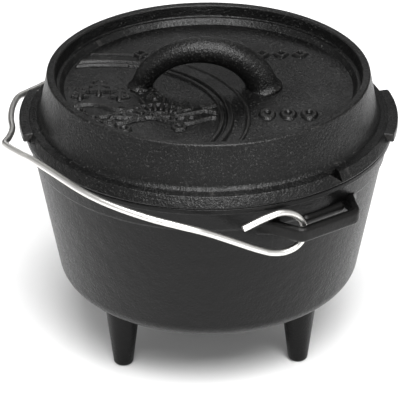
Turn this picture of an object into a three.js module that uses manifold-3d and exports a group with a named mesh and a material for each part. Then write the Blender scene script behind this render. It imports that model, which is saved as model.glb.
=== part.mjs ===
// A small cast iron dutch oven: a three-legged pot with two ears, a lid with a raised rim and a
// loop handle, and a wire bail that hooks into the ears. Millimetres, +Z up. The origin is the
// centre of the pot's flat underside, +X runs out through one ear, and the feet reach below z = 0.
// The pot and the lid are each one casting. Their cast-on legs, ears, handle and grips are meshes
// of their own, a hair's gap away from the body that they grow out of.

import * as THREE from 'three';
import { mergeVertices } from 'three/addons/utils/BufferGeometryUtils.js';
import Module from 'manifold-3d';

// ---- driving dimensions -------------------------------------------------------------------------

const TURN_STEPS = 72;        // facets round the pot and the lid
const CAST_GAP = 0.3;         // gap between a casting's body and its cast-on features

const POT = {
  wallFootRadius: 74.6,       // outer wall where it leaves the bottom corner
  wallTopRadius: 85.5,        // outer wall just under the collar
  cornerRadius: 10,           // bottom outer corner
  wall: 4.4,                  // wall and floor thickness
  innerCorner: 7,             // fillet between the floor and the wall inside
  collarZ: 67.6,              // underside of the thickened collar
  collarOut: 0.9,             // how far the collar stands out from the wall
  rimZ: 77.6,                 // underside of the rim bead
  topZ: 80.7,                 // top of the rim
  rimRadius: 89.6,            // outside of the rim bead
};

const EAR = {
  bottomZ: 63,
  topZ: 70.5,
  outerX: 99.2,               // outer face of the cross bar
  barInnerX: 95,              // inner face of the cross bar
  outerHalf: 17.4,            // half width at the outer face
  rootX: 86,                  // where the arms leave the wall
  rootHalf: 24,               // half width at the root, before the flare
  flareHalf: 29.5,            // half width of the flare that runs into the wall
  armWidth: 4.8,              // width of an arm, measured along Y
  corner: 5,                  // outer corners of the loop in plan
  slotCorner: 3,              // corners of the slot in plan
  rootDepth: 12,              // how deep the plan starts inside the wall, before it is trimmed
  bevel: 1.1,
  ribRadius: 2.9,             // rounded rib on the wall inside the slot, from ribFrom to ribTo in Y
  ribX: 85.6,
  ribFrom: -5,
  ribTo: 14,
};

const LEG = {
  circle: 50.4,               // distance from the pot's axis
  length: 40.9,
  topRadius: 9.8,
  ankleRadius: 5.1,           // just above the rounded tip
  tipRadius: 2.6,
  angles: { leg_front: -93, leg_rear_right: 27, leg_rear_left: 147 },
};

const LID = {
  seatZ: 81,                  // underside of the flange, resting on the rim
  flangeRadius: 90,           // lower edge of the flange
  flangeTopZ: 86.4,
  flangeTopRadius: 87.4,
  wallFootRadius: 82.6,       // where the side wall meets the flange
  rimRadius: 78.3,            // outside of the raised rim
  topZ: 108.7,                // top of the raised rim
  rimWidth: 4.2,
  ledgeZ: 102.6,              // narrow step round the plate
  ledgeRadius: 72.9,
  plateZ: 99.7,               // top of the sunken plate
  plateRadius: 70,
  plate: 4.2,                 // plate thickness
  innerRadius: 78,            // inside of the side wall
  ringInner: 78.4,            // locating ring that drops into the pot's mouth
  ringOuter: 82.2,
  ringZ: 77.6,
  turn: 54.5,                 // direction of the handle and grips about Z, degrees
};

const GRIP = { radius: 92.4, halfAngle: 15.5, corner: 3.2, bottomZ: 81.8, topZ: 86.2 };

const HANDLE = {
  leftX: -33,                 // centres of the two feet along the handle
  rightX: 26.5,
  apexZ: 119.6,               // centre of the bar at the top of the arch
  sunk: 4,                    // how far below the plate's top the arch starts
  leftRadius: 4.8,            // the bar tapers from one foot to the other
  rightRadius: 8,
  steps: 22,
  sides: 14,
};

const NOTCH = { angle: 6.5, halfWidth: 3.8, depth: 2.8 };   // pouring and thermometer notch

const BAIL = {
  wire: 3.2,
  sides: 8,
  hookX: 90.4,                // where the right hook rides on its ear
  hookY: -19.2,
  pivotZ: 66.75,              // middle of the ear's thickness
  restTilt: 12,               // lowered bail, degrees above level
  steps: 120,
  // each arm from the kink's tip outwards: along the hinge line, and away from it in the bail's plane
  tip: [-2.2, 107],
  rightArm: [[8.3, 103.2], [13.8, 100.1], [27.3, 95], [47.9, 87.8], [58.8, 82.1], [67.4, 75.5],
    [77.9, 64.7], [86.2, 52.9]],
  leftArm: [[-9, 102.6], [-15, 99], [-20.8, 96.3], [-28.6, 94], [-36.7, 91], [-48.2, 85.3],
    [-57.5, 79.2], [-63.5, 71.9], [-68.5, 65.3], [-73.2, 59.4], [-79, 52], [-85, 45.5]],
  // from there into the hook: inward of the hook's plane, along Y and up from the hinge line
  rightEntry: [[3, -43.1, 8.2], [2.4, -33.4, 3.2], [1.4, -23.7, -2], [0.4, -13.9, -7.1]],
  leftEntry: [[3.6, -38.5, 8.6], [3.2, -33, 5.9], [2.8, -26, 1.4], [0.6, -14.5, -6.2]],
  // the hook round the ear's arm and its straight free end: along Y and up from the hinge line
  hook: [[-8, -9.6], [-1.3, -10.6], [4.2, -9.2], [7.6, -5.8], [8.6, -1], [7.2, 3.6], [3.6, 7.9],
    [-2.6, 10.6], [-10, 9.9], [-22.9, 6.3]],
};

const IRON = { color: 0x2b2b2b, roughness: 0.55, metalness: 0.7 };
const STEEL = { color: 0xd8d8d6, roughness: 0.22, metalness: 1 };

// ---- solid helpers ------------------------------------------------------------------------------

const wasm = await Module();
wasm.setup();

function toSolid(geometry) {
  const bare = geometry.clone();
  bare.deleteAttribute('normal');
  bare.deleteAttribute('uv');
  const merged = mergeVertices(bare, 1e-4);
  const vertProperties = new Float32Array(merged.getAttribute('position').array);
  const triVerts = new Uint32Array(merged.getIndex().array);
  return new wasm.Manifold(new wasm.Mesh({ numProp: 3, vertProperties, triVerts }));
}

function toGeometry(solid) {
  const mesh = solid.getMesh();
  const geometry = new THREE.BufferGeometry();
  geometry.setAttribute('position', new THREE.BufferAttribute(mesh.vertProperties, 3));
  geometry.setIndex(new THREE.BufferAttribute(mesh.triVerts, 1));
  geometry.computeVertexNormals();
  return geometry;
}

// A body of revolution about Z from [radius, z] points in order along a closed or axis-ended outline.
function turned(points, steps = TURN_STEPS) {
  const profile = points.map(([radius, z]) => new THREE.Vector2(radius, z));
  return new THREE.LatheGeometry(profile, steps).rotateX(Math.PI / 2);
}

// Points of an arc in the [radius, z] plane, angles in degrees.
function arc(centreR, centreZ, radius, from, to, steps) {
  return Array.from({ length: steps + 1 }, (_, i) => {
    const angle = THREE.MathUtils.degToRad(from + ((to - from) * i) / steps);
    return [centreR + radius * Math.cos(angle), centreZ + radius * Math.sin(angle)];
  });
}

function addMesh(group, name, geometry, finish) {
  const mesh = new THREE.Mesh(geometry, new THREE.MeshStandardMaterial(finish));
  mesh.name = name;
  group.add(mesh);
  return mesh;
}

const radians = THREE.MathUtils.degToRad;

// ---- the pot ------------------------------------------------------------------------------------

const wallSlope = (POT.wallTopRadius - POT.wallFootRadius) / (POT.collarZ - POT.cornerRadius);
const lean = THREE.MathUtils.radToDeg(Math.atan(wallSlope));

// Outer outline of the pot from the middle of the underside to the top of the rim, grown by a margin.
function potOutside(margin) {
  const collarRadius = POT.wallTopRadius + POT.collarOut + margin;
  const collarTop = collarRadius + (POT.rimZ - POT.collarZ) * wallSlope;
  const cornerX = POT.wallFootRadius - POT.cornerRadius;
  return [
    [0, -margin],
    ...arc(cornerX, POT.cornerRadius, POT.cornerRadius + margin, -90, -lean, 5),
    [POT.wallTopRadius + margin, POT.collarZ - 0.8],
    [collarRadius, POT.collarZ + 0.4],
    [collarTop, POT.rimZ - 0.4],
    [POT.rimRadius + margin, POT.rimZ + 0.5],
    [POT.rimRadius + margin, POT.topZ - 0.6],
  ];
}

function potShell() {
  const innerTop = POT.wallTopRadius + POT.collarOut + 1.5 - POT.wall;
  const innerFoot = POT.wallFootRadius - POT.wall;
  const outline = [
    ...potOutside(0),
    [POT.rimRadius - 0.6, POT.topZ],
    [innerTop + 0.6, POT.topZ],
    [innerTop, POT.topZ - 0.6],
    ...arc(innerFoot - POT.innerCorner, POT.wall + POT.innerCorner, POT.innerCorner, -lean, -90, 5),
    [0, POT.wall],
  ];
  return turned(outline);
}

// Rounded ribs on the wall inside each ear's slot, cast in one with the pot.
function slotRib() {
  const middleZ = (EAR.bottomZ + EAR.topZ) / 2;
  const rib = new THREE.CapsuleGeometry(EAR.ribRadius, EAR.ribTo - EAR.ribFrom, 5, 12);
  return rib.translate(EAR.ribX, (EAR.ribFrom + EAR.ribTo) / 2, middleZ);
}

function potBody() {
  const ribs = [slotRib(), slotRib().rotateZ(Math.PI)].map(toSolid);
  return toGeometry(ribs.reduce((body, rib) => body.add(rib), toSolid(potShell())));
}

// Clearance body that trims whatever grows out of the pot's wall.
const potEnvelope = toSolid(turned([...potOutside(CAST_GAP), [0, POT.topZ]]));

// One ear in plan: a tapered loop with a flared root and a slot between its arms.
function earPlan() {
  const slope = (EAR.rootHalf - EAR.outerHalf) / (EAR.outerX - EAR.rootX);
  const half = (x) => EAR.outerHalf + (EAR.outerX - x) * slope;
  const buried = EAR.rootX - EAR.rootDepth;
  const { corner, slotCorner: inner } = EAR;
  const plan = new THREE.Shape();
  plan.moveTo(buried, -EAR.flareHalf - 3);
  plan.lineTo(EAR.rootX - 6, -EAR.flareHalf);
  plan.quadraticCurveTo(EAR.rootX - 2, -half(EAR.rootX), EAR.rootX + 3, -half(EAR.rootX + 3));
  plan.lineTo(EAR.outerX - corner, -half(EAR.outerX - corner));
  plan.quadraticCurveTo(EAR.outerX, -EAR.outerHalf, EAR.outerX, -EAR.outerHalf + corner);
  plan.lineTo(EAR.outerX, EAR.outerHalf - corner);
  plan.quadraticCurveTo(EAR.outerX, EAR.outerHalf, EAR.outerX - corner, half(EAR.outerX - corner));
  plan.lineTo(EAR.rootX + 3, half(EAR.rootX + 3));
  plan.quadraticCurveTo(EAR.rootX - 2, half(EAR.rootX), EAR.rootX - 6, EAR.flareHalf);
  plan.lineTo(buried, EAR.flareHalf + 3);
  plan.closePath();

  const slotHalf = (x) => half(x) - EAR.armWidth;
  const slot = new THREE.Path();
  slot.moveTo(buried + 2, slotHalf(EAR.rootX));
  slot.lineTo(EAR.rootX, slotHalf(EAR.rootX));
  slot.lineTo(EAR.barInnerX - inner, slotHalf(EAR.barInnerX - inner));
  slot.quadraticCurveTo(
    EAR.barInnerX, slotHalf(EAR.barInnerX), EAR.barInnerX, slotHalf(EAR.barInnerX) - inner);
  slot.lineTo(EAR.barInnerX, -slotHalf(EAR.barInnerX) + inner);
  slot.quadraticCurveTo(
    EAR.barInnerX, -slotHalf(EAR.barInnerX), EAR.barInnerX - inner, -slotHalf(EAR.barInnerX - inner));
  slot.lineTo(EAR.rootX, -slotHalf(EAR.rootX));
  slot.lineTo(buried + 2, -slotHalf(EAR.rootX));
  slot.closePath();
  plan.holes.push(slot);
  return plan;
}

function ear() {
  const block = new THREE.ExtrudeGeometry(earPlan(), {
    depth: EAR.topZ - EAR.bottomZ - 2 * EAR.bevel,
    bevelEnabled: true,
    bevelThickness: EAR.bevel,
    bevelSize: EAR.bevel,
    bevelOffset: -EAR.bevel,
    bevelSegments: 2,
    curveSegments: 4,
  }).translate(0, 0, EAR.bottomZ + EAR.bevel);
  return toGeometry(toSolid(block).subtract(potEnvelope));
}

// A leg tapers from the pot's underside to a small rounded tip.
function leg() {
  const bottom = -LEG.length;
  return turned([
    [0, bottom],
    [LEG.tipRadius, bottom],
    [LEG.tipRadius + 1.6, bottom + 1.1],
    [LEG.ankleRadius, bottom + 3.6],
    [LEG.topRadius - 0.9, -6],
    [LEG.topRadius + 0.5, -CAST_GAP],
    [0, -CAST_GAP],
  ], 20);
}

const pot = new THREE.Group();
addMesh(pot, 'pot_body', potBody(), IRON);
addMesh(pot, 'ear_right', ear(), IRON);
addMesh(pot, 'ear_left', ear(), IRON).rotation.z = Math.PI;
for (const [name, angle] of Object.entries(LEG.angles)) {
  const foot = addMesh(pot, name, leg(), IRON);
  foot.position.set(LEG.circle * Math.cos(radians(angle)), LEG.circle * Math.sin(radians(angle)), 0);
}

// ---- the lid ------------------------------------------------------------------------------------

// Outer outline of the lid from the flange's underside to the top of the rim, grown by a margin.
function lidOutside(margin) {
  const wallSpan = LID.topZ - LID.flangeTopZ;
  return [
    [LID.flangeRadius - 0.5 + margin, LID.seatZ],
    [LID.flangeRadius + margin, LID.seatZ + 0.7],
    [LID.flangeTopRadius + 0.5 + margin, LID.flangeTopZ - 0.9],
    [LID.flangeTopRadius - 0.4 + margin, LID.flangeTopZ],
    [LID.wallFootRadius + 1.4 + margin, LID.flangeTopZ + 0.9],
    [LID.wallFootRadius + margin, LID.flangeTopZ + 3],
    [LID.rimRadius + 1.6 + margin, LID.flangeTopZ + wallSpan * 0.72],
    [LID.rimRadius + margin, LID.topZ - 0.6],
  ];
}

function lidShell() {
  const underside = LID.plateZ - LID.plate;
  return turned([
    ...lidOutside(0),
    [LID.rimRadius - 0.6, LID.topZ],
    [LID.rimRadius - LID.rimWidth + 0.6, LID.topZ],
    [LID.rimRadius - LID.rimWidth, LID.topZ - 0.6],
    [LID.ledgeRadius, LID.ledgeZ],
    [LID.plateRadius + 0.6, LID.ledgeZ - 0.4],
    [LID.plateRadius, LID.plateZ],
    [0, LID.plateZ],
    [0, underside],
    [LID.innerRadius - 6, underside],
    [LID.innerRadius - 2.4, underside - 1.6],
    [LID.innerRadius - 0.8, underside - 5],
    [LID.ringInner, LID.ringZ + 0.6],
    [LID.ringInner + 0.5, LID.ringZ],
    [LID.ringOuter - 0.6, LID.ringZ],
    [LID.ringOuter, LID.ringZ + 0.6],
    [LID.ringOuter, LID.seatZ],
    [LID.flangeRadius - 0.5, LID.seatZ],
  ]);
}

// The flange's small vee notch, a groove that narrows downwards.
function notchCutter() {
  const vee = new THREE.Shape();
  vee.moveTo(-NOTCH.halfWidth, LID.flangeTopZ + 1.6);
  vee.lineTo(NOTCH.halfWidth, LID.flangeTopZ + 1.6);
  vee.lineTo(NOTCH.halfWidth, LID.seatZ + 0.6);
  vee.closePath();
  const cutter = new THREE.ExtrudeGeometry(vee, { depth: NOTCH.depth * 3, bevelEnabled: false });
  return cutter
    .rotateX(Math.PI / 2)
    .rotateZ(Math.PI / 2)
    .translate(LID.flangeTopRadius - NOTCH.depth, 0, 0)
    .rotateZ(radians(NOTCH.angle));
}

function lidBody() {
  return toGeometry(toSolid(lidShell()).subtract(toSolid(notchCutter())));
}

const lidEnvelope = toSolid(turned([[0, LID.seatZ], ...lidOutside(CAST_GAP), [0, LID.topZ]]));

// A grip is a short widening of the flange with rounded corners.
function grip() {
  const half = radians(GRIP.halfAngle);
  const inside = LID.wallFootRadius;
  const edge = GRIP.radius - GRIP.corner;
  const swing = GRIP.corner / GRIP.radius;
  const at = (radius, angle) => [radius * Math.cos(angle), radius * Math.sin(angle)];
  const plan = new THREE.Shape();
  plan.moveTo(...at(inside, -half));
  plan.lineTo(...at(edge, -half));
  plan.quadraticCurveTo(...at(GRIP.radius, -half), ...at(GRIP.radius, -half + swing));
  plan.absarc(0, 0, GRIP.radius, -half + swing, half - swing, false);
  plan.quadraticCurveTo(...at(GRIP.radius, half), ...at(edge, half));
  plan.lineTo(...at(inside, half));
  plan.closePath();
  const tab = new THREE.ExtrudeGeometry(plan, {
    depth: GRIP.topZ - GRIP.bottomZ - 1.2,
    bevelThickness: 0.6,
    bevelSize: 0.6,
    bevelOffset: -0.6,
    bevelSegments: 1,
    curveSegments: 8,
  }).translate(0, 0, GRIP.bottomZ + 0.6);
  return toGeometry(toSolid(tab).subtract(lidEnvelope));
}

// The loop handle is an arched bar, lofted ring by ring so that it can taper.
function handle() {
  const middle = (HANDLE.leftX + HANDLE.rightX) / 2;
  const halfSpan = (HANDLE.rightX - HANDLE.leftX) / 2;
  const footZ = LID.plateZ - HANDLE.sunk;
  const rise = HANDLE.apexZ - footZ;
  const positions = [];
  for (let i = 0; i <= HANDLE.steps; i += 1) {
    const angle = Math.PI * (1 - i / HANDLE.steps);
    const centre = new THREE.Vector3(middle + halfSpan * Math.cos(angle), 0, footZ + rise * Math.sin(angle));
    const outward = new THREE.Vector3(rise * Math.cos(angle), 0, halfSpan * Math.sin(angle)).normalize();
    const share = i / HANDLE.steps;
    const radius = HANDLE.leftRadius + (HANDLE.rightRadius - HANDLE.leftRadius) * share;
    for (let side = 0; side < HANDLE.sides; side += 1) {
      const turn = (2 * Math.PI * side) / HANDLE.sides;
      const point = centre.clone().addScaledVector(outward, radius * Math.cos(turn));
      positions.push(point.x, radius * Math.sin(turn), point.z);
    }
  }
  const indices = [];
  const ring = HANDLE.sides;
  for (let i = 0; i < HANDLE.steps; i += 1) {
    for (let side = 0; side < ring; side += 1) {
      const a = i * ring + side;
      const b = i * ring + ((side + 1) % ring);
      indices.push(a, a + ring, b, b, a + ring, b + ring);
    }
  }
  for (let side = 1; side < ring - 1; side += 1) {
    const last = HANDLE.steps * ring;
    indices.push(0, side, side + 1, last, last + side + 1, last + side);
  }
  const bar = new THREE.BufferGeometry();
  bar.setAttribute('position', new THREE.Float32BufferAttribute(positions, 3));
  bar.setIndex(indices);
  // everything below the plate's top is cut away, so the feet stand just clear of it
  const cutDepth = 2 * (LID.plateZ - footZ) + 2 * HANDLE.rightRadius;
  const plateCut = new THREE.BoxGeometry(2 * LID.plateRadius, LID.plateRadius, cutDepth)
    .translate(0, 0, LID.plateZ + CAST_GAP - cutDepth / 2);
  return toGeometry(toSolid(bar).subtract(toSolid(plateCut)));
}

const lid = new THREE.Group();
addMesh(lid, 'lid_body', lidBody(), IRON);
addMesh(lid, 'lid_handle', handle(), IRON).rotation.z = radians(LID.turn);
addMesh(lid, 'lid_grip_right', grip(), IRON).rotation.z = radians(LID.turn);
addMesh(lid, 'lid_grip_left', grip(), IRON).rotation.z = radians(LID.turn + 180);

// ---- the bail -----------------------------------------------------------------------------------

// The wire in its lowered place, with the hinge line along X through the origin and the kink on the
// -Y side. It is bent by hand, so its arms differ a little. Each hook takes the arm of its ear that
// lies on the left seen from outside, so the hinge line runs slantwise through the pot's axis and the
// load hangs level. The right arm passes under its ear. The left arm runs outside the lid's grip and
// comes down through its ear's slot, resting on the slot's near end, which holds it above level.
function bailSide(side, arm, entry) {
  const tilt = radians(BAIL.restTilt);
  const hingeReach = Math.hypot(BAIL.hookX, BAIL.hookY);
  const leaning = ([x, w]) => new THREE.Vector3(x, -w * Math.cos(tilt), w * Math.sin(tilt));
  const near = ([inset, y, z]) => new THREE.Vector3(side * (hingeReach - inset), y, z);
  return [...arm.map(leaning), ...entry.map(near), ...BAIL.hook.map(([y, z]) => near([0, y, z]))];
}

function bailWire() {
  const left = bailSide(-1, BAIL.leftArm, BAIL.leftEntry).reverse();
  const right = bailSide(1, [BAIL.tip, ...BAIL.rightArm], BAIL.rightEntry);
  const route = new THREE.CatmullRomCurve3([...left, ...right], false, 'centripetal');
  const section = new THREE.Shape().absarc(0, 0, BAIL.wire / 2, 0, 2 * Math.PI, false);
  return new THREE.ExtrudeGeometry(section, {
    steps: BAIL.steps,
    extrudePath: route,
    curveSegments: BAIL.sides / 2,
    bevelEnabled: false,
  });
}

const bail = new THREE.Group();
bail.rotation.z = Math.atan2(BAIL.hookY, BAIL.hookX);
bail.position.z = BAIL.pivotZ;
addMesh(bail, 'bail', bailWire(), STEEL);

export default new THREE.Group().add(pot, lid, bail);
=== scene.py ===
import math

import bmesh
import bpy
import numpy as np
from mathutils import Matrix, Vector
from mathutils.geometry import tessellate_polygon


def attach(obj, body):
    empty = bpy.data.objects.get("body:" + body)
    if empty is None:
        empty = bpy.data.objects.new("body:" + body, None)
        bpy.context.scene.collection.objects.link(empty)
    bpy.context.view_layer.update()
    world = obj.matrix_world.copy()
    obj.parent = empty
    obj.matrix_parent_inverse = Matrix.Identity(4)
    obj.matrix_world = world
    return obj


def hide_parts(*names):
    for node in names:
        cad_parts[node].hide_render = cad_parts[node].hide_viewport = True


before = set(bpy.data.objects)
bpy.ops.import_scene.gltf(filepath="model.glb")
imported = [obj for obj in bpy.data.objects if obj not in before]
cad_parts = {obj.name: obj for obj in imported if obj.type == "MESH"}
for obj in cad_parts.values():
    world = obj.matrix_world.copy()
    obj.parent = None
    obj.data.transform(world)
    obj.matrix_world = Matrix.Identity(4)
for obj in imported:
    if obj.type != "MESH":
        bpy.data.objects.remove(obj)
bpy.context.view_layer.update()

# ---- the studio ---------------------------------------------------------------------------------
# A white table in a bright room. The oven stands on its three feet, seen from above its front rim,
# with the handle running across the view and the right ear turned towards the viewer.

MM = 0.001
VIEW_TURN = math.radians(54.5)      # the view's direction round the pot, which the handle lies across
VIEW_FALL = 0.502110523             # how far the view points below level, in radians
VIEW_BACK = 1250.0                  # how far back the viewer stands, level, in mm
VIEW_HEIGHT = 722.98                # above the pot's underside, in mm

camera = bpy.data.objects.new("camera", bpy.data.cameras.new("camera"))
camera.data.sensor_width = 36.0
camera.data.lens = 258.63
camera.data.shift_x = -0.02145
camera.data.shift_y = 0.0006
camera.data.clip_end = 20
camera.location = MM * Vector(
    (VIEW_BACK * math.sin(VIEW_TURN), -VIEW_BACK * math.cos(VIEW_TURN), VIEW_HEIGHT))
camera.rotation_euler = (math.pi / 2 - VIEW_FALL, 0, VIEW_TURN)
bpy.context.scene.collection.objects.link(camera)
bpy.context.scene.camera = camera
bpy.context.scene.view_settings.view_transform = "Standard"


def linear(hex_colour):
    """An sRGB hex colour as the linear colour that a shader socket holds."""
    parts = [int(hex_colour[i:i + 2], 16) / 255 for i in (1, 3, 5)]
    return [c / 12.92 if c <= 0.04045 else ((c + 0.055) / 1.055) ** 2.4 for c in parts] + [1]


def node(tree, kind, settings=None, **inputs):
    """Adds a shader node. An input is a value, or (node, output name) for a link."""
    made = tree.nodes.new("ShaderNode" + kind)
    for name, value in (settings or {}).items():
        setattr(made, name, value)
    for name, value in inputs.items():
        key = int(name[1:]) if name[0] == "_" and name[1:].isdigit() else name.replace("_", " ")
        if isinstance(value, tuple) and isinstance(value[0], bpy.types.ShaderNode):
            tree.links.new(value[0].outputs[value[1]], made.inputs[key])
        else:
            made.inputs[key].default_value = value
    return made


def new_material(name):
    """An empty node material, and its node tree."""
    material = bpy.data.materials.new(name)
    material.use_nodes = True
    material.node_tree.nodes.clear()
    return material, material.node_tree


# the table: matt white laminate, which only takes the soft shadow
table_white, tree = new_material("white_laminate")
sheen = node(tree, "TexNoise", Scale=6.0, Detail=2.0)
tone = node(tree, "Mix", {"data_type": "RGBA"}, _0=(sheen, "Fac"),
            _6=linear("#f4f4f4"), _7=linear("#f7f7f7"))
surface = node(tree, "BsdfDiffuse", Color=(tone, "Result"))
node(tree, "OutputMaterial", Surface=(surface, "BSDF"))

FEET = -40.9                        # the height of the table under the pot's underside
TABLE = 3000.0                      # half the table's side
table_mesh = bpy.data.meshes.new("table")
table_corners = [(x * TABLE * MM, y * TABLE * MM, FEET * MM) for x, y in ((-1, -1), (1, -1), (1, 1), (-1, 1))]
table_mesh.from_pydata(table_corners, [], [(0, 1, 2, 3)])
table = bpy.data.objects.new("table", table_mesh)
table.data.materials.append(table_white)
bpy.context.scene.collection.objects.link(table)


def softbox(name, across, back, up, width, height, watts):
    """A rectangular soft light, placed across, behind and above the pot as the viewer sees it, in mm."""
    light = bpy.data.lights.new(name, "AREA")
    light.shape = "RECTANGLE"
    light.size, light.size_y, light.energy = width * MM, height * MM, watts
    lamp = bpy.data.objects.new(name, light)
    c, s = math.cos(VIEW_TURN), math.sin(VIEW_TURN)
    lamp.location = Vector((across * c - back * s, across * s + back * c, up)) * MM
    lamp.rotation_euler = (Vector((0, 0, 0.05)) - lamp.location).to_track_quat("-Z", "Y").to_euler()
    bpy.context.scene.collection.objects.link(lamp)


softbox("left_softbox", -800, 150, 330, 500, 500, 0.5)
softbox("right_softbox", 800, 150, 330, 500, 500, 0.5)
softbox("top_softbox", 0, -200, 1300, 700, 450, 12)
softbox("front_softbox", 150, -850, 1050, 900, 500, 25)
softbox("back_softbox", 0, 900, 700, 900, 300, 1.5)

room = bpy.data.worlds.new("room")
bpy.context.scene.world = room
room.use_nodes = True
tree = room.node_tree
tree.nodes.clear()
way = node(tree, "TexCoord")
behind = node(tree, "VectorMath", {"operation": "DOT_PRODUCT"}, _0=(way, "Generated"),
              _1=(-math.sin(VIEW_TURN), math.cos(VIEW_TURN), 0.35))
glow = node(tree, "MapRange", {"interpolation_type": "SMOOTHSTEP"}, Value=(behind, "Value"),
            From_Min=-0.7, From_Max=1.0, To_Min=0.75, To_Max=0.05)
sky = node(tree, "Background", Color=(1, 1, 1, 1), Strength=(glow, "Result"))
node(tree, "OutputWorld", Surface=(sky, "Background"))

# ---- the pot ------------------------------------------------------------------------------------
# One sand casting in grey iron: a flared wall with a thick collar and a rim bead, a flat floor, two
# ears with a slot each, a rounded rib inside each slot, and three tapered legs. It was coated with
# oil and baked until black.

ROUND = 576  # facets round the castings

POT_OUTLINE = [                     # radius, height, fillet
    (0, 0, 0), (72.85, 0, 10), (85.45, 67.0, 1.2), (86.5, 68.4, 0.9), (88.25, 77.4, 0.7),
    (89.6, 78.0, 0.7), (89.6, 80.7, 0.9), (83.6, 80.7, 0.9), (69.1, 4.4, 7), (0, 4.4, 0)]
LEG_OUTLINE = [
    (0, -40.9, 0), (4.7, -40.9, 2.2), (9.7, 0.15, 4.2), (15.5, 0.15, 0), (15.5, 2.4, 0), (0, 2.4, 0)]
LEG_CIRCLE = 50.4
LEG_ANGLES = (-93, 27, 147)
EAR_OUTLINE = [                     # x, y, corner radius
    (77.0, -31.4, 0), (80.2, -29.6, 3), (84.4, -24.6, 5), (99.2, -17.4, 6.0), (99.2, 17.4, 6.0),
    (84.4, 24.6, 5), (80.2, 29.6, 3), (77.0, 31.4, 0), (80.9, 19.4, 0), (86.4, 18.9, 0),
    (94.9, 14.8, 3.2), (94.9, -14.8, 3.2),
    (86.4, -18.9, 0), (80.9, -19.4, 0)]
EAR_BOTTOM, EAR_TOP, EAR_EDGE = 63.0, 70.5, 1.9
RIB_RADIUS, RIB_X, RIB_Z, RIB_FROM, RIB_TO = 2.9, 85.6, 66.75, -5.0, 14.0


def rounded(corners, steps=7):
    """The corners of an outline as a finer outline, each corner rounded to its own radius."""
    line = []
    for i, (x, y, radius) in enumerate(corners):
        here = np.array((x, y), float)
        if not radius:
            line.append(here)
            continue
        back = np.array(corners[i - 1][:2]) - here
        ahead = np.array(corners[(i + 1) % len(corners)][:2]) - here
        u, v = back / np.linalg.norm(back), ahead / np.linalg.norm(ahead)
        half = math.acos(max(-1, min(1, u @ v))) / 2
        reach = min(radius / math.tan(half), 0.49 * np.linalg.norm(back), 0.49 * np.linalg.norm(ahead))
        radius = reach * math.tan(half)
        centre = here + (u + v) / np.linalg.norm(u + v) * radius / math.sin(half)
        start, end = here + u * reach - centre, here + v * reach - centre
        for k in range(steps + 1):
            between = start * (1 - k / steps) + end * k / steps
            line.append(centre + between / np.linalg.norm(between) * radius)
    return np.array(line)


def facing_out(mesh):
    """Turns every face of the mesh outwards."""
    work = bmesh.new()
    work.from_mesh(mesh)
    bmesh.ops.recalc_face_normals(work, faces=work.faces)
    work.to_mesh(mesh)
    work.free()


def solid(name, points, faces):
    """A piece from points in mm and faces."""
    mesh = bpy.data.meshes.new(name)
    mesh.from_pydata([tuple(p) for p in np.asarray(points, float) * MM], [], faces)
    mesh.validate()
    facing_out(mesh)
    piece = bpy.data.objects.new(name, mesh)
    bpy.context.scene.collection.objects.link(piece)
    return piece


def turned(name, outline, steps, centre=(0, 0)):
    """A body of revolution whose outline starts and ends on its axis."""
    turn = 2 * np.pi * np.arange(steps) / steps
    rings = [np.c_[r * np.cos(turn), r * np.sin(turn), np.full(steps, z)] for r, z in outline[1:-1]]
    points = np.vstack([[[0, 0, outline[0][1]]], *rings, [[0, 0, outline[-1][1]]]])
    points[:, :2] += centre
    last = len(points) - 1
    faces = []
    for j in range(steps):
        k = (j + 1) % steps
        faces.append((0, 1 + k, 1 + j))
        for i in range(len(rings) - 1):
            a = 1 + i * steps
            faces.append((a + j, a + k, a + steps + k, a + steps + j))
        a = 1 + (len(rings) - 1) * steps
        faces.append((a + j, a + k, last))
    return solid(name, points, faces)


def slab(name, outline, bottom, top, edge, turn=0.0):
    """A flat shape in plan, with its upper and lower edges rounded over."""
    ahead = np.roll(outline, -1, 0) - outline
    ahead /= np.linalg.norm(ahead, axis=1)[:, None]
    out = np.c_[ahead[:, 1], -ahead[:, 0]]
    out = out + np.roll(out, 1, 0)
    out /= np.linalg.norm(out, axis=1)[:, None]
    swing = np.radians(np.linspace(0, 90, 6))
    layers = [(edge * (1 - math.sin(a)), bottom + edge * (1 - math.cos(a))) for a in swing]
    layers += [(edge * (1 - math.cos(a)), top - edge * (1 - math.sin(a))) for a in swing]
    c, s = math.cos(turn), math.sin(turn)
    points = []
    for inset, z in layers:
        flat = outline - out * inset
        points += [(x * c - y * s, x * s + y * c, z) for x, y in flat]
    n = len(outline)
    cap_triangles = tessellate_polygon([[Vector((x, y, 0)) for x, y in outline - out * edge]])
    last = n * (len(layers) - 1)
    faces = [tuple(t) for t in cap_triangles] + [tuple(last + i for i in t) for t in cap_triangles]
    for layer in range(len(layers) - 1):
        a = layer * n
        faces += [(a + i, a + (i + 1) % n, a + n + (i + 1) % n, a + n + i) for i in range(n)]
    return solid(name, points, faces)


def baked(piece):
    """Fixes the piece's modifiers into its mesh."""
    done = bpy.data.meshes.new_from_object(piece.evaluated_get(bpy.context.evaluated_depsgraph_get()))
    piece.modifiers.clear()
    piece.data = done
    return piece


def cast_with(piece, others, operation="UNION"):
    """Casts other solids in one with the piece, or cuts them out of it."""
    for other in others:
        step = piece.modifiers.new("cast", "BOOLEAN")
        step.operation, step.solver, step.object = operation, "MANIFOLD", other
        bpy.context.view_layer.update()
        baked(piece)
        bpy.data.objects.remove(other)
    return piece


def smooth(piece, sharp_above=38.0):
    """Shades the piece smooth, with a sharp edge where faces turn by more than sharp_above degrees."""
    piece.data.shade_smooth()
    piece.data.set_sharp_from_angle(angle=math.radians(sharp_above))
    return piece


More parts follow.
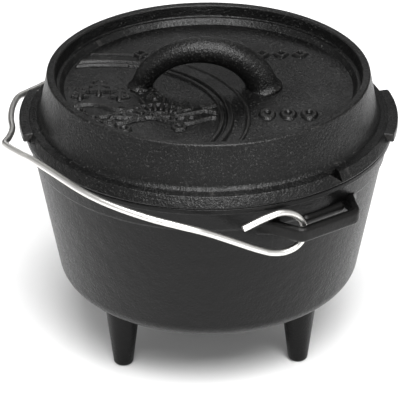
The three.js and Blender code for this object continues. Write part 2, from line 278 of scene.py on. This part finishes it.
pot = turned("pot_casting", rounded(POT_OUTLINE, 10), ROUND)
legs = [
    turned(f"leg_{i}", rounded(LEG_OUTLINE, 10), 72,
           (LEG_CIRCLE * math.cos(math.radians(a)), LEG_CIRCLE * math.sin(math.radians(a))))
    for i, a in enumerate(LEG_ANGLES)]
ears = [slab(f"ear_{i}", rounded(EAR_OUTLINE), EAR_BOTTOM, EAR_TOP, EAR_EDGE, turn)
        for i, turn in enumerate((0, math.pi))]

ribs = []
rib_half = (RIB_TO - RIB_FROM) / 2
cap = np.radians(np.linspace(-90, 0, 9))
rib_outline = [(RIB_RADIUS * math.cos(a), RIB_RADIUS * math.sin(a) - rib_half) for a in cap]
rib_outline += [(r, -z) for r, z in reversed(rib_outline)]
for side in (1, -1):
    rib = turned("rib", rib_outline, 36)
    for v in rib.data.vertices:
        x, y, z = v.co / MM
        v.co = Vector((side * (RIB_X + x), side * ((RIB_FROM + RIB_TO) / 2 + z), RIB_Z + y)) * MM
    facing_out(rib.data)
    ribs.append(rib)

cast_with(pot, legs + ears + ribs)
smooth(pot)


def seasoned_iron(name, colour, worn, rough, gloss, sand_mm, sand_deep, glint_paint):
    """Grey iron as it leaves the sand, under a baked coat of oil: near black, satin, finely pitted,
    with a greyer edge where the coat is thin, and painted glints: light grey points painted into the colour
    where the grain stands highest, as highlights on the grains."""
    material, tree = new_material(name)
    here = (node(tree, "TexCoord"), "Object")
    per_m = 1000.0
    sand = node(tree, "TexNoise", Vector=here, Scale=per_m / sand_mm, Detail=2.5, Roughness=0.65)
    pits = node(tree, "TexVoronoi", {"feature": "F1"}, Vector=here, Scale=per_m / (sand_mm * 2.1),
                Randomness=1.0)
    skin = node(tree, "TexNoise", Vector=here, Scale=per_m / 7.0, Detail=4.0, Roughness=0.55)
    blotch = node(tree, "TexNoise", Vector=here, Scale=per_m / 30.0, Detail=3.0, Roughness=0.5)
    pit_depth = node(tree, "MapRange", Value=(pits, "Distance"), From_Min=0.05, From_Max=0.5)
    # the sand's grain shows in patches, where the mould was rammed less hard
    patches = node(tree, "MapRange", Value=(blotch, "Fac"), From_Min=0.35, From_Max=0.65,
                   To_Min=0.55, To_Max=1.25)
    grain = node(tree, "Math", {"operation": "MULTIPLY_ADD"}, _0=(pit_depth, "Result"), _1=0.35,
                 _2=(sand, "Fac"))
    height = node(tree, "Math", {"operation": "MULTIPLY"}, _0=(grain, "Value"), _1=(patches, "Result"))
    fine = node(tree, "Bump", Strength=1.0, Distance=sand_deep * MM, Height=(height, "Value"))
    wavy = node(tree, "Bump", Strength=1.0, Distance=0.35 * MM, Height=(skin, "Fac"), Normal=(fine, "Normal"))

    geometry = node(tree, "NewGeometry")
    edges = node(tree, "MapRange", Value=(geometry, "Pointiness"), From_Min=0.505, From_Max=0.57)
    worn_bits = node(tree, "Math", {"operation": "MULTIPLY", "use_clamp": True},
                     _0=(edges, "Result"), _1=(sand, "Fac"))
    tone = node(tree, "Mix", {"data_type": "RGBA"}, _0=(blotch, "Fac"), _6=linear(colour),
                _7=[c * 1.6 for c in linear(colour)[:3]] + [1])
    tone = node(tree, "Mix", {"data_type": "RGBA"}, _0=(worn_bits, "Value"),
                _6=(tone, "Result"), _7=linear(worn))
    # painted glints: where the grain stands highest a light grey is mixed into the colour, as painted
    # highlights on the sand grains
    points = node(tree, "MapRange", Value=(grain, "Value"), From_Min=0.92, From_Max=1.1,
                  To_Min=0.0, To_Max=glint_paint)
    tone = node(tree, "Mix", {"data_type": "RGBA"}, _0=(points, "Result"),
                _6=(tone, "Result"), _7=linear("#a3a3a0"))
    shine = node(tree, "MapRange", Value=(sand, "Fac"), From_Min=0.3, From_Max=0.7,
                 To_Min=rough + 0.08, To_Max=rough - 0.12)
    iron = node(tree, "BsdfPrincipled", Base_Color=(tone, "Result"), Roughness=(shine, "Result"), IOR=1.5,
                Specular_IOR_Level=gloss, Normal=(wavy, "Normal"))
    node(tree, "OutputMaterial", Surface=(iron, "BSDF"))
    return material


pot.data.materials.clear()
pot.data.materials.append(
    seasoned_iron("seasoned_iron_pot", "#040404", "#232221", 0.38, 0.16, 0.9, 0.14, 0.03))
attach(pot, "pot")
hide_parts("pot_body", "ear_right", "ear_left", "leg_front", "leg_rear_right", "leg_rear_left")

# ---- the lid ------------------------------------------------------------------------------------
# The second casting: a flange that rests on the pot's rim, a steep side wall up to a raised rim that
# holds embers, and a sunken plate with a raised picture. The loop handle and the two grips are cast
# on, and a small vee is cut into the flange. The grain of the sand is coarser here than on the pot.

LID_TURN = VIEW_TURN                # the handle and the grips lie across the view
PLATE_TOP, PLATE_EDGE = 99.7, 69.6
LID_OUTLINE = [                     # radius, height, fillet, from the plate's edge outwards and back under it
    (70.2, 99.7, 0.8), (72.2, 102.5, 0.9), (73.9, 102.7, 0.8), (74.5, 108.7, 1.0), (78.35, 108.7, 1.1),
    (82.2, 88.6, 4.5), (83.6, 87.1, 2.0), (87.5, 86.3, 0.7), (90.0, 81.6, 0.5), (89.8, 81.0, 0.3),
    (82.2, 81.0, 0.3), (82.2, 77.6, 0.6), (78.4, 77.6, 0.6), (77.4, 92.5, 3), (72.0, 95.5, 2), (0, 95.5, 0)]
RELIEF = 1.4                        # height of the cast picture
MEDAL = (-51.0, -34.0)              # its round frame's centre, with the handle's direction as x
HANDLE_FEET = (-33.0, 26.5)
HANDLE_TOP, HANDLE_START = 119.55, 95.7
HANDLE_RADII = (4.8, 8.0)
HANDLE_FLARE, FLARE_FADE, FLARE_TOP = 1.8, 0.9, 112.0   # the swelling where the handle meets the plate
HANDLE_BURIED = 96.2                # the bar below this is left out, inside the plate
GRIP_RADIUS, GRIP_HALF, GRIP_BOTTOM, GRIP_TOP = 92.4, 15.5, 81.8, 86.2
GRIP_INNER, GRIP_EDGE = 82.0, 0.9
NOTCH_TURN, NOTCH_HALF, NOTCH_DEPTH = 6.5, 3.8, 2.8
NOTCH_RIM, NOTCH_TOP, NOTCH_FLOOR, NOTCH_REACH = 87.4, 88.0, 81.6, 12


def near_line(points, line):
    """Distance from each point to a chain of straight strokes."""
    best = np.full(len(points), 1e9)
    for a, b in zip(line[:-1], line[1:]):
        a, b = np.array(a, float), np.array(b, float)
        along = np.clip((points - a) @ (b - a) / max((b - a) @ (b - a), 1e-9), 0, 1)
        best = np.minimum(best, np.linalg.norm(points - a - along[:, None] * (b - a), axis=1))
    return best


def raised(distance, half_width, draft=0.8):
    """Height of a cast stroke from 0 to 1, with sloping sides."""
    t = np.clip((half_width + draft - distance) / draft, 0, 1)
    return t * t * (3 - 2 * t)


def picture(points):
    """The lid's picture: rings round fir trees, a low sun and waves, with lozenges and three pips."""
    out = np.zeros(len(points))
    on_plate = np.linalg.norm(points, axis=1)
    from_medal = np.linalg.norm(points - MEDAL, axis=1)

    def add(shape, tall=1.0):
        np.maximum(out, shape * tall, out=out)

    add(raised(abs(from_medal - 61.5), 1.0))
    add(raised(abs(from_medal - 57.5), 0.6), 0.9)
    add(raised(abs(from_medal - 70.0), 0.4), 0.5)
    inside = from_medal < 56.5
    scene = np.zeros(len(points))

    def draw(shape, tall=1.0):
        np.maximum(scene, shape * tall, out=scene)

    sun = np.array((-24.0, -36.0))
    from_sun = np.linalg.norm(points - sun, axis=1)
    draw(raised(abs(from_sun - 7.0), 0.6) * (points[:, 1] > sun[1]))
    for degrees in range(8, 180, 15):
        a = math.radians(degrees)
        ray = [(sun + np.array((math.cos(a), math.sin(a))) * r) for r in (10.0, 18.0 + 4.5 * (degrees % 2))]
        draw(raised(near_line(points, ray), 0.5, 0.7))
    for x, y, tall in ((-53, -10, 19), (-43, -15, 15), (-33, -7, 16), (-62, -14, 13), (-26, -14, 11)):
        draw(raised(near_line(points, [(x, y), (x, y + 0.2 * tall)]), 0.6))
        for tier in range(3):
            low, high = y + tall * (0.18 + 0.26 * tier), y + tall * (0.46 + 0.26 * tier)
            wide = tall * (0.34 - 0.09 * tier)
            inside_tier = (points[:, 1] > low) & (points[:, 1] < high)
            side = wide * (high - points[:, 1]) / (high - low)
            draw(np.where(inside_tier, raised(abs(points[:, 0] - x) - side, 0, 0.6), 0))
    for lift, shift in ((0, 0), (-7, 11), (-14, 4)):
        ridge = [(x, -23 + lift + 3.2 * math.sin((x + shift) / 5.2)) for x in np.arange(-66, 4, 1.5)]
        draw(raised(near_line(points, ridge), 0.55))
    for x, y in ((-62, -28), (-55, -36), (-47, -40), (-40, -46), (-14, -44), (-8, -36)):
        draw(raised(abs(np.hypot(points[:, 0] - x, points[:, 1] - y) - 2.6), 0.45))
    add(np.where(inside, scene, 0))
    # a border of lozenges behind the handle, and three plain pips at the front
    for x in list(np.arange(-34, -22, 10)) + list(np.arange(17, 52, 9.5)):
        lozenge = abs(points[:, 0] - x) / 3.8 + abs(points[:, 1] - 35) / 4.6
        add(raised((abs(lozenge - 0.75) - 0.16) * 4.0, 0))
    for x in (28.0, 38.0, 48.0):
        pip = np.hypot(points[:, 0] - x, (points[:, 1] + 30) / 1.5)
        add(raised(abs(pip - 2.6), 0.7))
    return out * np.clip((69.0 - on_plate) / 0.8, 0, 1)


plate_rings = [(r, PLATE_TOP) for r in np.linspace(0, PLATE_EDGE, 130)]
lid_steps = 720
lid = turned("lid_casting", plate_rings + [tuple(p) for p in rounded(LID_OUTLINE, 6)], lid_steps)
co = np.empty(len(lid.data.vertices) * 3)
lid.data.vertices.foreach_get("co", co)
co = co.reshape(-1, 3) / MM
on_top = (abs(co[:, 2] - PLATE_TOP) < 0.01) & (np.hypot(co[:, 0], co[:, 1]) < PLATE_EDGE + 0.01)
c, s = math.cos(LID_TURN), math.sin(LID_TURN)
plan = np.c_[co[on_top, 0] * c + co[on_top, 1] * s, -co[on_top, 0] * s + co[on_top, 1] * c]
co[on_top, 2] += RELIEF * picture(plan)
lid.data.vertices.foreach_set("co", (co * MM).ravel())
lid.data.update()


def swept(name, path, radii, sides, across=None):
    """A round bar along a path, with a radius at each point and a small chamfer at each end."""
    path = np.asarray(path, float)
    radii = np.asarray(radii, float)
    ahead = np.gradient(path, axis=0)
    ahead /= np.linalg.norm(ahead, axis=1)[:, None]
    side = np.cross(ahead[0], (0, 0, 1) if abs(ahead[0][2]) < 0.9 else (1, 0, 0))
    turn = 2 * np.pi * np.arange(sides) / sides
    points = [path[0]]
    chamfer = min(0.3, radii[0] * 0.2)
    rings = [(path[0], ahead[0], radii[0] - chamfer)]
    rings += [(p + a * (chamfer if i == 0 else -chamfer if i == len(path) - 1 else 0), a, r)
              for i, (p, a, r) in enumerate(zip(path, ahead, radii))]
    rings += [(path[-1], ahead[-1], radii[-1] - chamfer)]
    for centre, direction, radius in rings:
        side = side - (side @ direction) * direction
        side /= np.linalg.norm(side)
        up = np.cross(direction, side)
        points += [centre + radius * (math.cos(t) * side + math.sin(t) * up) for t in turn]
    points.append(path[-1])
    faces = []
    for j in range(sides):
        k = (j + 1) % sides
        faces.append((0, 1 + k, 1 + j))
        for i in range(len(rings) - 1):
            a = 1 + i * sides
            faces.append((a + j, a + k, a + sides + k, a + sides + j))
        a = 1 + (len(rings) - 1) * sides
        faces.append((a + j, a + k, len(points) - 1))
    return solid(name, points, faces)


share = np.linspace(0, 1, 120)
angle = np.pi * (1 - share)
middle, half_span = sum(HANDLE_FEET) / 2, (HANDLE_FEET[1] - HANDLE_FEET[0]) / 2
arch = np.c_[middle + half_span * np.cos(angle), np.zeros(len(share)),
             HANDLE_START + (HANDLE_TOP - HANDLE_START) * np.sin(angle)]
bar = HANDLE_RADII[0] + (HANDLE_RADII[1] - HANDLE_RADII[0]) * share
flare = HANDLE_FLARE * np.exp(-np.clip(arch[:, 2] - PLATE_TOP, 0, None) / FLARE_FADE)
bar = bar + flare * (arch[:, 2] < FLARE_TOP)
keep = arch[:, 2] > HANDLE_BURIED
arch = np.c_[arch[:, 0] * c, arch[:, 0] * s, arch[:, 2]]
handle = swept("handle", arch[keep], bar[keep], 48)

grip_angles = np.radians(np.linspace(-GRIP_HALF, GRIP_HALF, 25))
grip_outline = [(GRIP_INNER * math.cos(grip_angles[0]), GRIP_INNER * math.sin(grip_angles[0]), 0)]
grip_outline += [(GRIP_RADIUS * math.cos(a), GRIP_RADIUS * math.sin(a), 3.0 if i in (0, 24) else 0)
                 for i, a in enumerate(grip_angles)]
grip_outline += [(GRIP_INNER * math.cos(grip_angles[-1]), GRIP_INNER * math.sin(grip_angles[-1]), 0)]
grips = [slab(f"grip_{i}", rounded(grip_outline), GRIP_BOTTOM, GRIP_TOP, GRIP_EDGE, LID_TURN + turn)
         for i, turn in enumerate((0, math.pi))]
cast_with(lid, [handle] + grips)

vee = [(-NOTCH_HALF, NOTCH_TOP), (NOTCH_HALF, NOTCH_TOP), (NOTCH_HALF, NOTCH_FLOOR)]
tangent = math.radians(NOTCH_TURN)
notch_points = [
    ((NOTCH_RIM - NOTCH_DEPTH + depth) * math.cos(tangent) - across * math.sin(tangent),
     (NOTCH_RIM - NOTCH_DEPTH + depth) * math.sin(tangent) + across * math.cos(tangent), z)
    for depth in (0, NOTCH_REACH) for across, z in vee]
notch = solid("notch", notch_points, [(0, 1, 2), (3, 5, 4), (0, 3, 4, 1), (1, 4, 5, 2), (2, 5, 3, 0)])
cast_with(lid, [notch], "DIFFERENCE")
smooth(lid)

lid.data.materials.clear()
lid.data.materials.append(
    seasoned_iron("seasoned_iron_lid", "#030303", "#2b2a29", 0.36, 0.24, 0.85, 0.34, 0.14))
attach(lid, "lid")
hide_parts("lid_body", "lid_handle", "lid_grip_right", "lid_grip_left")

# ---- the bail -----------------------------------------------------------------------------------
# One length of drawn stainless wire, 3.2 mm thick, bent cold. The kink in the middle is where a
# chain's hook takes it, and each end is bent round its ear into an open hook. Nothing fixes it but
# the hooks: it hangs in the two slots.

WIRE = 3.2
BAIL_Z = 66.75
HINGE = (90.4, -19.2)               # where the right hook's plane crosses its ear
BAIL_REST = math.radians(12)        # above level, resting on the left ear's near end
TIP = (-2.2, 106.85)                # the kink: along the hinge line and away from it, in the bail's plane
RIGHT_ARM = [(8.3, 103.2), (13.8, 100.1), (27.3, 95), (47.9, 87.8), (58.8, 82.1), (67.4, 75.5), (77.9, 64.7),
             (86.2, 52.9)]
LEFT_ARM = [(-9, 102.6), (-15, 99), (-20.8, 96.3), (-28.6, 94), (-36.7, 91), (-48.2, 85.3), (-57.5, 79.2),
            (-63.5, 71.9), (-68.5, 65.3), (-73.2, 59.4), (-79, 52), (-85, 45.5)]
RIGHT_ENTRY = [(3, -43.1, 8.2), (2.4, -33.4, 3.2), (1.4, -23.7, -2), (0.4, -13.9, -7.1)]
LEFT_ENTRY = [(3.6, -38.5, 8.6), (3.2, -33, 5.9), (2.8, -26, 1.4), (0.6, -14.5, -6.2)]
HOOK = [(-8, -9.6), (-1.3, -10.6), (4.2, -9.2), (7.6, -5.8), (8.6, -1), (7.2, 3.6), (3.6, 7.9), (-2.6, 10.6),
        (-10, 9.9), (-22.9, 6.3)]


def bail_side(side, arm, entry):
    """One side of the wire from the kink out to the hook's free end, with the hinge line as x."""
    leaning = [(x, -w * math.cos(BAIL_REST), w * math.sin(BAIL_REST)) for x, w in arm]
    hook = [(0, y, z) for y, z in HOOK]
    near = [(side * (math.hypot(*HINGE) - inset), y, z) for inset, y, z in entry + hook]
    return leaning + near


def through(points, steps):
    """A smooth line through the points, which doesn't overshoot where they lie close together."""
    ends = np.vstack([2 * points[0] - points[1], points, 2 * points[-1] - points[-2]])
    line = []
    for i in range(1, len(ends) - 2):
        p = ends[i - 1:i + 3]
        t = np.concatenate([[0], np.cumsum(np.sqrt(np.linalg.norm(np.diff(p, axis=0), axis=1)))])
        for u in np.linspace(t[1], t[2], steps, endpoint=False):
            a = [((t[k + 1] - u) * p[k] + (u - t[k]) * p[k + 1]) / (t[k + 1] - t[k]) for k in range(3)]
            b = [((t[k + 2] - u) * a[k] + (u - t[k]) * a[k + 1]) / (t[k + 2] - t[k]) for k in range(2)]
            line.append(((t[2] - u) * b[0] + (u - t[1]) * b[1]) / (t[2] - t[1]))
    return np.array(line + [points[-1]])


left_side, right_side = bail_side(-1, LEFT_ARM, LEFT_ENTRY), bail_side(1, [TIP] + RIGHT_ARM, RIGHT_ENTRY)
route = through(np.array(left_side[::-1] + right_side), 12)
slant = math.atan2(HINGE[1], HINGE[0])
route = np.c_[route[:, 0] * math.cos(slant) - route[:, 1] * math.sin(slant),
              route[:, 0] * math.sin(slant) + route[:, 1] * math.cos(slant), route[:, 2] + BAIL_Z]
bail = swept("bail_wire", route, np.full(len(route), WIRE / 2), 24)
smooth(bail, 30)

# drawn stainless steel: bright and smooth, with fine lines from the die along the wire
stainless, tree = new_material("drawn_stainless_wire")
place = node(tree, "TexCoord")
lines = node(tree, "TexNoise", Vector=(place, "Object"), Scale=1000 / 1.2, Detail=4.0, Roughness=0.7)
patches = node(tree, "TexNoise", Vector=(place, "Object"), Scale=1000 / 14.0, Detail=2.0)
tone = node(tree, "Mix", {"data_type": "RGBA"}, _0=(patches, "Fac"),
            _6=linear("#c9c7c3"), _7=linear("#e6e5e2"))
shine = node(tree, "MapRange", Value=(lines, "Fac"), To_Min=0.26, To_Max=0.42)
scratch = node(tree, "Bump", Strength=0.6, Distance=0.01 * MM, Height=(lines, "Fac"))
steel = node(tree, "BsdfPrincipled", Base_Color=(tone, "Result"), Metallic=1.0, Roughness=(shine, "Result"),
             Normal=(scratch, "Normal"))
node(tree, "OutputMaterial", Surface=(steel, "BSDF"))
bail.data.materials.clear()
bail.data.materials.append(stainless)
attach(bail, "bail")
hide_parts("bail")
